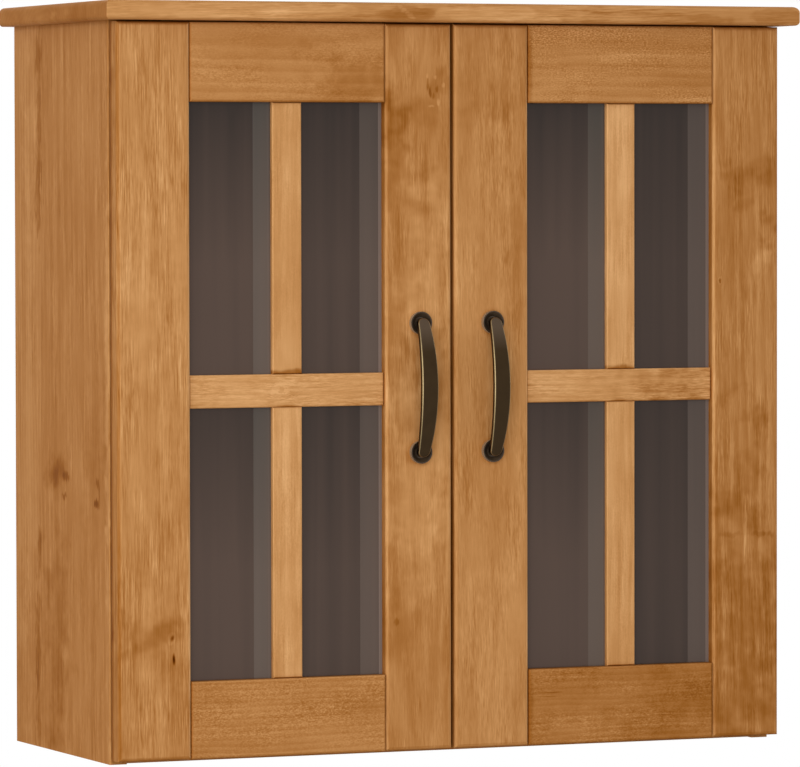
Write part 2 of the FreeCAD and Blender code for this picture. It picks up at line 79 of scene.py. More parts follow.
# Pine, planed, stained honey and waxed: fine fibre lines, soft streaks, amber clouds, few knots.
# The stain gathers in the joints and dries dark there, with painted shade in the gaps and creases.
# Depths are in steps of an 8 bit colour.
pine = {
    "tones": [(0.0, "#451A02"), (0.3, "#773D0B"), (0.533, "#9A5F25"), (0.667, "#AE743D"),
              (0.833, "#C99159"), (1.0, "#E2AC74")],
    "middle": 0.667,            # place of the mean colour on the tone line
    "step": 1 / 150,            # one colour step on the tone line
    "grainTurn": {"z": (0, 0, 0), "x": (0, -90, 0)},   # degrees, lays the grain on the pattern's Z axis
    # mm across and along the grain; the fine ones end where the wood shows end grain, and are drawn
    # coarse enough to show
    "layers": {
        "fibre": {"across": 1.5, "along": 34.0, "detail": 2.0, "depth": 15.0, "fine": True},
        "hair": {"across": 1.0, "along": 9.0, "detail": 1.0, "depth": 8.0, "fine": True},
        "fleck": {"across": 1.3, "along": 2.4, "detail": 2.0, "depth": 0.0, "fine": True},
        "streak": {"across": 7.0, "along": 220.0, "detail": 2.0, "depth": 12.0, "fine": True},
        "cloud": {"across": 36.0, "along": 80.0, "detail": 3.0, "depth": 8.0, "fine": False},
        "drift": {"across": 90.0, "along": 210.0, "detail": 1.0, "depth": 8.0, "fine": False},
    },
    "layerRoughness": 0.6,      # how much the small parts of a layer's noise count
    "slowDetail": 2.0,          # noise detail of the outlines, the sway and the patches
    # fibres fade and deepen in patches: mm size, scale along the grain, noise range, share of their depth
    "patch": {"size": 22.0, "along": 0.3, "range": (0.35, 0.65), "share": (0.3, 1.3)},
    "endDepth": 27.0,           # end grain drinks more stain and shows no fibres
    "arris": (10.0, 10.0),      # painted light and shade on rounded edges that look left and on those that look right
    "arrisTurn": (-0.4, 0.4),   # sideways lean of a surface that looks left or right
    "rounded": (0.99, 0.85),    # largest part of the normal, from flat to rounded
    "underShadeDepth": 12.0,         # painted shade on undersides
    "edgeDepth": 13.0,          # door edges are darker than the faces
    "edgeTurn": (0.5, 0.15),    # forward part of the normal, from face to edge
    "backShadeDepth": 62.0,          # and painted shade of the gaps, deepening towards the back
    "ringWidth": 6.0,           # mm between year rings
    "ringDepth": 8.0,
    "ringRise": (0.1, 0.8),     # shares of a ring between which it darkens to the late wood
    # the rings wander: mm reach, mm size of the turns, scale along the grain
    "sway": {"reach": 16.0, "size": 55.0, "along": 0.2},
    # outlines: mm size of the raggedness, how far it is drawn out along the grain, its share of the
    # reach, and the share of the reach in which the mark is at its full depth
    "figure": {
        "clouds": {"cell": 24.0, "stretch": 1.0, "ragged": 0.6, "core": 0.1},
        "patches": {"cell": 24.0, "stretch": 1.0, "ragged": 0.3, "core": 0.75},
        "marks": {"cell": 5.0, "stretch": 4.0, "ragged": 0.7, "core": 0.4},
        "knots": {"cell": 5.0, "stretch": 1.0, "ragged": 0.8, "core": 0.5},
    },
    "spread": 0.45,             # how far a knot pushes the grain aside
    "spreadReach": (3.0, 0.5),  # from no push to full push, in knot radii
    "halo": 8.0,                # pale rim round a knot
    "haloReach": (1.9, 1.2),    # from no rim to full rim, in knot radii
    "stave": 90.0,              # mm width of the strips that wide panels are glued up from
    "staveStart": -77.0,        # y of the first glue line
    "staveShift": (-0.05, -0.01, 0.37),   # metres in the log from one strip to the next
    "staveDepth": 5.0,          # depth between strips
    "joint": 5.0,               # mm that the joint stain and the painted shade of gaps and creases reach
    "jointStainAndShadeDepth": 26.0,
    "jointSamples": 8,
    "bumpStrength": 0.1,
    "bumpHeight": 0.2,          # mm that the fibres stand up
    "roughness": 0.55,
    "gloss": 0.012,
}


# each mark of the figure is an oval on the board's face, and the grain flows round a knot
def pineFigure(tree, board, place):
    step = pine["step"]
    tone = pine["middle"] + (board["shade"] - pine["jointStainAndShadeDepth"]) * step
    flow = place
    figure = [(kind, mark) for kind in pine["figure"] for mark in board.get(kind, [])]
    for kind, (across, along, halfWidth, halfLength, darken, *core) in figure:
        outline = pine["figure"][kind]
        centre, size = [across, 0, along], [halfWidth, 0, halfLength]
        if board["grain"] == "x":
            centre, size = [along, 0, across], [halfLength, 0, halfWidth]
        if board.get("face") == "x":
            centre, size = [0, centre[0], centre[2]], [0, size[0], size[2]]
        reach = [perMetre(s) if s else 0.0 for s in size]
        oval = addNode(tree, "ShaderNodeVectorMath", {"operation": "SUBTRACT"}, _0=place,
                       _1=[c * mm for c in centre]).outputs[0]
        oval = addNode(tree, "ShaderNodeVectorMath", {"operation": "MULTIPLY"}, _0=oval, _1=reach).outputs[0]
        stretch = [1.0 / outline["stretch"] if axis == board["grain"] else 1.0 for axis in "xyz"]
        drawn = addNode(tree, "ShaderNodeVectorMath", {"operation": "MULTIPLY"}, _0=place,
                        _1=stretch).outputs[0]
        ragged = addNode(tree, "ShaderNodeTexNoise", {"normalize": False}, Vector=drawn,
                         Scale=perMetre(outline["cell"]), Detail=pine["slowDetail"]).outputs["Color"]
        uneven = addNode(tree, "ShaderNodeVectorMath", {"operation": "MULTIPLY_ADD"}, _0=ragged,
                         _1=[outline["ragged"]] * 3, _2=oval).outputs[0]
        far = addNode(tree, "ShaderNodeVectorMath", {"operation": "LENGTH"}, _0=uneven).outputs["Value"]
        near = addNode(tree, "ShaderNodeMapRange", {"interpolation_type": "SMOOTHSTEP"}, Value=far,
                       From_Min=1.0, From_Max=core[0] if core else outline["core"]).outputs[0]
        tone = addNode(tree, "ShaderNodeMath", {"operation": "MULTIPLY_ADD"}, _0=near, _1=-darken * step,
                       _2=tone).outputs[0]
        if kind == "knots":
            rim = addNode(tree, "ShaderNodeMapRange", {"interpolation_type": "SMOOTHSTEP"}, Value=far,
                          From_Min=pine["haloReach"][0], From_Max=pine["haloReach"][1],
                          To_Max=pine["halo"] * step).outputs[0]
            tone = addNode(tree, "ShaderNodeMath", {"operation": "ADD"}, _0=tone, _1=rim).outputs[0]
            wide = addNode(tree, "ShaderNodeMapRange", {"interpolation_type": "SMOOTHSTEP"}, Value=far,
                           From_Min=pine["spreadReach"][0], From_Max=pine["spreadReach"][1],
                           To_Max=-pine["spread"]).outputs[0]
            pull = addNode(tree, "ShaderNodeVectorMath", {"operation": "MULTIPLY"}, _0=oval,
                           _1=[s * mm for s in size]).outputs[0]
            pull = addNode(tree, "ShaderNodeVectorMath", {"operation": "SCALE"}, _0=pull,
                           Scale=wide).outputs[0]
            flow = addNode(tree, "ShaderNodeVectorMath", {"operation": "ADD"}, _0=flow, _1=pull).outputs[0]
    return tone, flow


# the board as it lay in the log, a wide panel strip by strip
def pineLog(tree, board, place, flow, tone):
    turn = pine["grainTurn"][board["grain"]]
    tilt = board.get("tilt", (0, 0))
    angles = [math.radians(a) for a in (turn[0] + tilt[0], turn[1] + tilt[1], turn[2])]
    pith = [v * mm for v in board["pith"]]
    laid = addNode(tree, "ShaderNodeMapping", Vector=flow, Rotation=angles, Location=pith).outputs[0]
    if board.get("glued"):
        depth = addNode(tree, "ShaderNodeSeparateXYZ", Vector=place).outputs["Y"]
        strip = addNode(tree, "ShaderNodeMath", {"operation": "MULTIPLY_ADD"}, _0=depth,
                        _1=perMetre(pine["stave"]), _2=-pine["staveStart"] / pine["stave"]).outputs[0]
        strip = addNode(tree, "ShaderNodeMath", {"operation": "FLOOR"}, _0=strip).outputs[0]
        shift = addNode(tree, "ShaderNodeVectorMath", {"operation": "SCALE"}, _0=pine["staveShift"],
                        Scale=strip).outputs[0]
        laid = addNode(tree, "ShaderNodeVectorMath", {"operation": "ADD"}, _0=laid, _1=shift).outputs[0]
        own = addNode(tree, "ShaderNodeTexWhiteNoise", {"noise_dimensions": "1D"}, W=strip).outputs["Value"]
        own = addNode(tree, "ShaderNodeMapRange", Value=own, To_Min=-pine["staveDepth"] * pine["step"],
                      To_Max=pine["staveDepth"] * pine["step"]).outputs[0]
        tone = addNode(tree, "ShaderNodeMath", {"operation": "ADD"}, _0=tone, _1=own).outputs[0]
    return laid, tone


# year rings round the pith, swaying along the board
def pineRings(tree, board, laid, tone):
    sway = pine["sway"]
    slow = addNode(tree, "ShaderNodeVectorMath", {"operation": "MULTIPLY"}, _0=laid,
                   _1=(1, 1, sway["along"])).outputs[0]
    wander = addNode(tree, "ShaderNodeTexNoise", Vector=slow, Scale=perMetre(sway["size"]),
                     Detail=pine["slowDetail"]).outputs["Color"]
    swayed = addNode(tree, "ShaderNodeVectorMath", {"operation": "MULTIPLY_ADD"}, _0=wander,
                     _1=(sway["reach"] * mm, sway["reach"] * mm, 0), _2=laid).outputs[0]
    flat = addNode(tree, "ShaderNodeVectorMath", {"operation": "MULTIPLY"}, _0=swayed,
                   _1=(1, 1, 0)).outputs[0]
    ring = addNode(tree, "ShaderNodeVectorMath", {"operation": "LENGTH"}, _0=flat).outputs["Value"]
    ring = addNode(tree, "ShaderNodeMath", {"operation": "MULTIPLY"}, _0=ring,
                   _1=perMetre(board.get("ringWidth", pine["ringWidth"]))).outputs[0]
    ring = addNode(tree, "ShaderNodeMath", {"operation": "FRACT"}, _0=ring).outputs[0]
    late = addNode(tree, "ShaderNodeValToRGB", Fac=ring)
    late.color_ramp.elements[0].position = pine["ringRise"][0]
    late.color_ramp.elements[1].position = pine["ringRise"][1]
    late.color_ramp.elements.new(1.0).color = (0, 0, 0, 1)
    return addNode(tree, "ShaderNodeMath", {"operation": "MULTIPLY_ADD"}, _0=late.outputs["Color"],
                   _1=-pine["ringDepth"] * board.get("rings", 1.0) * pine["step"], _2=tone).outputs[0]


# fibres, streaks and clouds
def pineLayers(tree, board, laid, normal, tone):
    step = pine["step"]
    patch = pine["patch"]
    endGrain = addNode(tree, "ShaderNodeMath", {"operation": "ABSOLUTE"},
                       _0=normal.outputs[board["grain"].upper()]).outputs[0]
    tone = addNode(tree, "ShaderNodeMath", {"operation": "MULTIPLY_ADD"}, _0=endGrain,
                   _1=-board.get("endDepth", pine["endDepth"]) * step, _2=tone).outputs[0]
    longGrain = addNode(tree, "ShaderNodeMath", {"operation": "SUBTRACT"}, _0=1.0, _1=endGrain).outputs[0]
    slow = addNode(tree, "ShaderNodeVectorMath", {"operation": "MULTIPLY"}, _0=laid,
                   _1=(1, 1, patch["along"])).outputs[0]
    share = addNode(tree, "ShaderNodeTexNoise", Vector=slow, Scale=perMetre(patch["size"]),
                    Detail=pine["slowDetail"]).outputs["Fac"]
    share = addNode(tree, "ShaderNodeMapRange", Value=share, From_Min=patch["range"][0],
                    From_Max=patch["range"][1], To_Min=patch["share"][0], To_Max=patch["share"][1]).outputs[0]
    longGrain = addNode(tree, "ShaderNodeMath", {"operation": "MULTIPLY"}, _0=longGrain, _1=share).outputs[0]
    drawn = {}
    for layerName, layer in pine["layers"].items():
        depth = board.get(layerName, layer["depth"])
        scales = [perMetre(layer["across"])] * 2 + [perMetre(layer["along"])]
        scaled = addNode(tree, "ShaderNodeVectorMath", {"operation": "MULTIPLY"}, _0=laid,
                         _1=scales).outputs[0]
        noise = addNode(tree, "ShaderNodeTexNoise", {"normalize": False}, Vector=scaled, Scale=1.0,
                        Detail=layer["detail"], Roughness=pine["layerRoughness"]).outputs["Fac"]
        if layer["fine"]:
            noise = addNode(tree, "ShaderNodeMath", {"operation": "MULTIPLY"}, _0=noise,
                            _1=longGrain).outputs[0]
        tone = addNode(tree, "ShaderNodeMath", {"operation": "MULTIPLY_ADD"}, _0=noise, _1=depth * step,
                       _2=tone).outputs[0]
        drawn[layerName] = noise
    return tone, drawn["fibre"]


# painted light and shade on rounded edges, painted shade on undersides, the darker edges of the doors
# with painted shade of the gaps towards their back, and stain in the joints with painted shade in gaps
def pineEdges(tree, name, board, coords, normal, tone):
    step = pine["step"]
    turned = addNode(tree, "ShaderNodeVectorMath", {"operation": "ABSOLUTE"},
                     _0=coords.outputs["Normal"]).outputs[0]
    turned = addNode(tree, "ShaderNodeSeparateXYZ", Vector=turned)
    flush = addNode(tree, "ShaderNodeMath", {"operation": "MAXIMUM"}, _0=turned.outputs["X"],
                    _1=turned.outputs["Y"]).outputs[0]
    flush = addNode(tree, "ShaderNodeMath", {"operation": "MAXIMUM"}, _0=flush,
                    _1=turned.outputs["Z"]).outputs[0]
    rounded = addNode(tree, "ShaderNodeMapRange", {"interpolation_type": "SMOOTHSTEP"}, Value=flush,
                      From_Min=pine["rounded"][0], From_Max=pine["rounded"][1]).outputs[0]
    # painted light and shade on rounded edges, set by whether they look left or right
    leftArrisShading, rightArrisShading = board.get("arris", pine["arris"])
    arris = addNode(tree, "ShaderNodeMapRange", Value=normal.outputs["X"], From_Min=pine["arrisTurn"][0],
                    From_Max=pine["arrisTurn"][1], To_Min=leftArrisShading * step,
                    To_Max=rightArrisShading * step).outputs[0]
    tone = addNode(tree, "ShaderNodeMath", {"operation": "MULTIPLY_ADD"}, _0=rounded, _1=arris,
                   _2=tone).outputs[0]
    # painted shade on surfaces that look down
    under = addNode(tree, "ShaderNodeMapRange", Value=normal.outputs["Z"], From_Min=0.0, From_Max=-1.0,
                    To_Max=-board.get("underShadeDepth", pine["underShadeDepth"]) * step).outputs[0]
    tone = addNode(tree, "ShaderNodeMath", {"operation": "ADD"}, _0=tone, _1=under).outputs[0]
    if board.get("door"):
        front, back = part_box(name)[0].y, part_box(name)[1].y
        edge = addNode(tree, "ShaderNodeMapRange", Value=turned.outputs["Y"], From_Min=pine["edgeTurn"][0],
                       From_Max=pine["edgeTurn"][1], To_Max=-pine["edgeDepth"] * step).outputs[0]
        tone = addNode(tree, "ShaderNodeMath", {"operation": "ADD"}, _0=tone, _1=edge).outputs[0]
        # painted shade of the gaps on a door board, deepening from its middle to its back
        inwards = addNode(tree, "ShaderNodeSeparateXYZ", Vector=coords.outputs["Object"]).outputs["Y"]
        inwards = addNode(tree, "ShaderNodeMapRange", {"interpolation_type": "SMOOTHSTEP"}, Value=inwards,
                          From_Min=(front + back) / 2, From_Max=back,
                          To_Max=-board.get("backShadeDepth", pine["backShadeDepth"]) * step).outputs[0]
        tone = addNode(tree, "ShaderNodeMath", {"operation": "ADD"}, _0=tone, _1=inwards).outputs[0]
    # stain in the joints and painted shade in the gaps and creases: darker where the surface is hemmed in
    bare = addNode(tree, "ShaderNodeAmbientOcclusion", {"samples": pine["jointSamples"]},
                   Distance=pine["joint"] * mm).outputs["AO"]
    return addNode(tree, "ShaderNodeMath", {"operation": "MULTIPLY_ADD"}, _0=bare,
                   _1=pine["jointStainAndShadeDepth"] * step, _2=tone).outputs[0]


def waxedPine(name, board):
    material, tree = newMaterial("waxed_pine_" + name)
    coords = addNode(tree, "ShaderNodeTexCoord")
    place = coords.outputs["Object"]
    normal = addNode(tree, "ShaderNodeSeparateXYZ", Vector=coords.outputs["Normal"])
    tone, flow = pineFigure(tree, board, place)
    laid, tone = pineLog(tree, board, place, flow, tone)
    tone = pineRings(tree, board, laid, tone)
    tone, fibre = pineLayers(tree, board, laid, normal, tone)
    tone = pineEdges(tree, name, board, coords, normal, tone)

    colour = addNode(tree, "ShaderNodeValToRGB", Fac=tone)
    ramp = colour.color_ramp.elements
    ramp[0].position, ramp[1].position = pine["tones"][0][0], pine["tones"][-1][0]
    ramp[0].color, ramp[1].color = hexToLinear(pine["tones"][0][1]), hexToLinear(pine["tones"][-1][1])
    for position, code in pine["tones"][1:-1]:
        ramp.new(position).color = hexToLinear(code)
    bump = addNode(tree, "ShaderNodeBump", Strength=pine["bumpStrength"], Distance=pine["bumpHeight"] * mm,
                   Height=fibre).outputs[0]
    wood = addNode(tree, "ShaderNodeBsdfPrincipled", Base_Color=colour.outputs["Color"],
                   Roughness=pine["roughness"], Specular_IOR_Level=pine["gloss"], Normal=bump)
    addNode(tree, "ShaderNodeOutputMaterial", Surface=wood.outputs[0])
    return material


# Each board has its grain along z or x, its pith in mm beside the board and its shade in colour steps
# from the mean. Where it differs from the pine above, it has its own depths, painted arris light and shade,
# ring width, a share for its rings, and a tilt of the grain in degrees. Face x looks sideways, a glued board
# is made of strips, and a door board has darker edges and painted gap shade towards its back.
# Clouds, patches, marks and knots give mm across and along the grain, half width and half length, the
# depth to darken by, which is below zero for a paler one, and for some their own core.
rails = {"grain": "x", "door": True, "fibre": 5.0, "hair": 7.0, "fleck": 17.0, "streak": 8.0, "cloud": 5.0,
         "drift": 4.0, "underShadeDepth": 36.0}
stiles = {"grain": "z", "door": True, "streak": 9.0, "cloud": 6.0, "drift": 4.0}
bars = {"fibre": 9.0, "hair": 4.0, "fleck": 5.0, "streak": 9.0, "cloud": 10.0, "underShadeDepth": 36.0}
boards = {
    "top_board": {"grain": "x", "glued": True, "pith": (-70, 120, 300), "tilt": (0, 1.2), "shade": 26,
                  "rings": 0.5, "endDepth": 31.0, "arris": (0.0, 0.0),
                  "patches": [(54, -225, 9, 150, -9), (54, -58, 9, 42, 17, 0.6), (54, 30, 9, 60, -12),
                              (50, 200, 8, 110, 12), (54, 350, 9, 40, 12)],
                  "marks": [(60, -66, 2.8, 3.6, -12), (57, -62, 2.8, 3.6, -12), (54, -58, 2.8, 3.6, -13),
                            (51, -54, 3.2, 4.5, -14)]},
    "left_side_panel": {"grain": "z", "face": "x", "glued": True, "pith": (460, 150, 40), "tilt": (0.8, 0),
                        "shade": 9, "fibre": 9.5, "streak": 8.0, "cloud": 5.0, "drift": 4.0, "rings": 0.7,
                        "clouds": [(-240, -400, 50, 110, 8), (-120, -585, 50, 160, 18),
                                   (-268, -320, 9, 420, -20), (-40, -620, 60, 170, 8),
                                   (-135, -300, 34, 500, 3), (-38, -330, 14, 420, -7),
                                   (-50, -120, 34, 230, -6), (-72, -60, 24, 130, 5),
                                   (-68, -580, 20, 120, 8), (-116, -404, 40, 26, 24)],
                        "patches": [(-124, -406, 30, 22, 12, 0.3)],
                        "marks": [(-72, 16, 12, 30, 22), (-74, -60, 9, 70, 20), (-70, -130, 13, 50, 20),
                                  (-77, -20, 1.5, 30, 30), (-72, -478, 6, 28, 26), (-66, -580, 11, 70, 24),
                                  (-64, -614, 2.5, 20, 32), (-66, -660, 11, 30, 20), (-150, -404, 16, 6, 28),
                                  (-145, -424, 10, 5, 30), (-239, -408, 7, 7, 26), (-237, -427, 8, 6, 42),
                                  (-245, -418, 3, 12, 24)]},
    "right_side_panel": {"grain": "z", "face": "x", "glued": True, "pith": (-250, 110, 900),
                         "tilt": (-0.7, 0), "shade": 5, "fibre": 9.0, "rings": 0.7,
                         "clouds": [(-200, -540, 30, 120, 8)], "knots": [(-90, -220, 9, 13, 30)]},
    "bottom_board": {"grain": "x", "glued": True, "pith": (90, 130, 640), "shade": 0},
    "hanging_rail": {"grain": "x", "pith": (20, 160, 130), "shade": 0},
    "shelf": {"grain": "x", "glued": True, "pith": (330, 90, 510), "shade": 2},
    "left_hinge_stile": {**stiles, "pith": (300, 380, 0), "tilt": (0.3, 0.3), "shade": 20, "fibre": 19.0,
                         "arris": (-24.0, 25.0),
                         "clouds": [(-330, -190, 70, 150, -9), (-310, -640, 90, 220, 10),
                                    (-360, -20, 3, 130, 16), (-290, -400, 28, 200, 8),
                                    (-326, -552, 48, 34, 22), (-320, -455, 45, 45, 6),
                                    (-306, -590, 16, 30, 9), (-300, -578, 2.2, 10, 105),
                                    (-302, -557, 2.4, 4, 50)],
                         "patches": [(-302.5, -557, 5, 7, -9)]},
    "left_handle_stile": {**stiles, "pith": (40, 360, 210), "tilt": (1.6, 0.4), "shade": 10, "fibre": 10.0,
                          "arris": (16.0, 12.0),
                          "clouds": [(-72, -56, 34, 50, 30), (-40, -44, 44, 22, 12), (-60, -110, 40, 50, 13),
                                     (-16, -18, 22, 24, 12), (-22, -190, 50, 130, -14),
                                     (-30, -308, 62, 130, -20), (-40, -440, 70, 100, -16),
                                     (-62, -555, 40, 50, 8), (-30, -580, 60, 60, 3), (-18, -5, 10, 11, 10),
                                     (-26, -20, 9, 15, 8)],
                          "patches": [(-18, 4, 66, 46, -5)],
                          "marks": [(-27, -22, 2, 9, 36), (-30, -15, 1.5, 7, 20), (-20, -22, 2.5, 5, 22),
                                    (-24, -28, 1.5, 5, 18), (-22, -9, 2, 3, -16), (-14, -17, 3, 3, -18),
                                    (-19, -34, 2.5, 4, -16), (-27, -38, 5, 2, -16), (-31, -8, 2, 4, -10),
                                    (-65, -546, 4, 5, 18)]},
    "left_top_rail": {**rails, "pith": (40, 370, 90), "shade": 15, "fibre": 3.0, "hair": 4.0, "fleck": 10.0,
                      "streak": 4.0, "clouds": [(-14, -105, 50, 75, 16), (0, -210, 40, 80, -2)]},
    "left_bottom_rail": {**rails, "pith": (640, 360, 410), "shade": 11, "fibre": 2.0, "hair": 4.0,
                         "fleck": 19.0, "clouds": [(-622, -105, 24, 70, 9)]},
    "left_cross_bar": {**bars, "grain": "x", "pith": (330, 320, 60), "shade": 32, "hair": 17.0,
                       # its first two clouds are painted shade along the lower and upper edges where the bars
                       # meet it
                       "clouds": [(-334, -179, 3.5, 19, 40), (-300.5, -179, 1.5, 19, 16)],
                       "knots": [(-317, -186, 4, 8, 14)]},
    "left_upper_bar": {**bars, "grain": "z", "pith": (170, 330, 730), "shade": 32, "fibre": 7.0,
                       # its cloud is painted shade at the bar's foot, just above the cross bar
                       "clouds": [(-179, -300, 40, 4.5, 46)]},
    "left_lower_bar": {**bars, "grain": "z", "pith": (190, 340, 140), "shade": 29},
    "left_glazing_beads": {"grain": "z", "pith": (150, 330, 0), "shade": 0},
    "right_hinge_stile": {**stiles, "pith": (-280, 370, 60), "tilt": (-1.0, 0.5), "shade": 10, "fibre": 14.0,
                          "arris": (20.0, 4.0),
                          "clouds": [(314, -108, 34, 20, 20), (348, -100, 26, 20, 14),
                                     (315, -600, 100, 270, 23), (298, -360, 20, 60, 9),
                                     (342, -192, 15, 16, -16), (318, -134, 14, 14, 14)],
                          "patches": [(340, -145, 8, 5, 10, 0.1), (347, -152, 9, 7, 16, 0.1),
                                      (354, -160, 8, 7, 16, 0.1), (342, -172, 8, 6, 8, 0.1),
                                      (348, -180, 9, 7, 12, 0.1), (354, -187, 8, 6, 10, 0.1)],
                          "marks": [(321.5, -452, 1.2, 20, -22), (320.5, -482, 1.5, 26, -24),
                                    (340, -471, 22, 4.0, 15), (306, -471, 18, 3.5, 9)],
                          "knots": [(292, -213, 1.6, 2.6, 34)]},
    "right_handle_stile": {**stiles, "pith": (-10, 345, 330), "tilt": (3.2, 0.8), "shade": 17, "fibre": 12.0,
                           "ringWidth": 16.0, "rings": 0.9, "arris": (8.0, 20.0), "backShadeDepth": 25.0,
                           "clouds": [(38, -10, 80, 60, 6), (25, -42, 50, 26, 5), (66, -190, 22, 90, 7),
                                      (8, -210, 24, 60, -4), (35, -560, 60, 120, -4)]},
    "right_top_rail": {**rails, "pith": (30, 350, 770), "shade": 14, "fleck": 24.0,
                       "clouds": [(-20, 95, 40, 60, -7), (10, 255, 60, 70, 4)],
                       # its patch is painted shade on the rail's end by the stile
                       "patches": [(6, 81, 70, 4.5, 20, 0.2)]},
    "right_bottom_rail": {**rails, "pith": (630, 340, 130), "shade": 0,
                          "clouds": [(-624, 100, 1.2, 40, 28), (-628, 98, 1.0, 36, 26),
                                     (-635, 260, 60, 110, 14), (-655, 120, 24, 60, -8)],
                          # its patch is painted shade on the rail's end by the stile
                          "patches": [(-642, 81, 70, 4.5, 16, 0.2)]},
    "right_cross_bar": {**bars, "grain": "x", "pith": (315, 325, 440), "shade": 31, "fibre": 11.0,
                        # its second cloud is painted shade along the lower edge where the lower bar meets it
                        "hair": 22.0, "clouds": [(-317, 250, 40, 80, 24), (-334, 183, 3.5, 19, 40)]},
    "right_upper_bar": {**bars, "grain": "z", "pith": (-200, 330, 380), "shade": 40,
                        # its cloud is painted shade at the bar's foot, just above the cross bar
                        "clouds": [(183, -300, 40, 4.5, 46)]},
    "right_lower_bar": {**bars, "grain": "z", "pith": (-170, 335, 20), "shade": 28, "fibre": 7.0,
                        "streak": 6.0},
    "right_glazing_beads": {"grain": "z", "pith": (-150, 330, 200), "shade": 0},
}
for name, board in boards.items():
    dress(name, waxedPine(name, board))
print("pine boards:", len(boards))


# Birch plywood, rotary cut and sanded: pale, wide soft waves drawn out along the grain.
backSheet = {"dark": "#B88A52", "pale": "#C9A069", "toneRange": (0.3, 0.7), "waveSize": 26.0, "along": 0.12,
             "detail": 5.0, "distortion": 1.4, "roughness": 0.6}


def birchPlywood():
    material, tree = newMaterial("birch_plywood_sanded")
    place = addNode(tree, "ShaderNodeTexCoord").outputs["Object"]
    drawn = addNode(tree, "ShaderNodeVectorMath", {"operation": "MULTIPLY"}, _0=place,
                    _1=(1, 1, backSheet["along"])).outputs[0]
    wave = addNode(tree, "ShaderNodeTexNoise", Vector=drawn, Scale=perMetre(backSheet["waveSize"]),
                   Detail=backSheet["detail"], Distortion=backSheet["distortion"]).outputs["Fac"]
    colour = addNode(tree, "ShaderNodeValToRGB", Fac=wave)
    for end, tone in enumerate(("dark", "pale")):
        colour.color_ramp.elements[end].position = backSheet["toneRange"][end]
        colour.color_ramp.elements[end].color = hexToLinear(backSheet[tone])
    sheet = addNode(tree, "ShaderNodeBsdfPrincipled", Base_Color=colour.outputs["Color"],
                    Roughness=backSheet["roughness"])
    addNode(tree, "ShaderNodeOutputMaterial", Surface=sheet.outputs[0])
    return material


dress("back_panel", birchPlywood())
print("plywood back dressed")


# Smoked float glass: dark brown with a faint gloss, with painted shade under the rail and the cross bar
# paling down each light, a band of light down the right side of each light with a thin brighter line at its
# end, and faint upright streaks of painted reflection.
pane = {
    # the top colour is painted shade under the rail and the cross bar, paling to the foot colour lower down
    "top": "#372C26",
    "foot": "#58463C",
    "fallShare": 0.6,           # share of a light's height over which its painted shade pales
    "lowerStart": 0.25,         # the lower lights start this far on
    "rightShare": {"left": 0.68, "right": 0.37},   # how far the right light of each door pales
    # in each door the left and the right light: mm widths from the right, and the light they add
    "bandWidth": (18.5, 23.5),
    "lineWidth": (3.5, 3.5),
    "band": {"left": ("#363632", "#39332E"), "right": ("#31312C", "#3D3631")},
    "line": {"left": ("#1A1716", "#594F4A"), "right": ("#1A1716", "#594F4A")},
    "streakWidth": 15.0,        # mm
    "streakLength": 700.0,      # mm
    "streakDetail": 2.0,
    "streakDepth": 0.2,
    "alpha": 0.94,
    "roughness": 0.04,
    "gloss": 0.2,
}


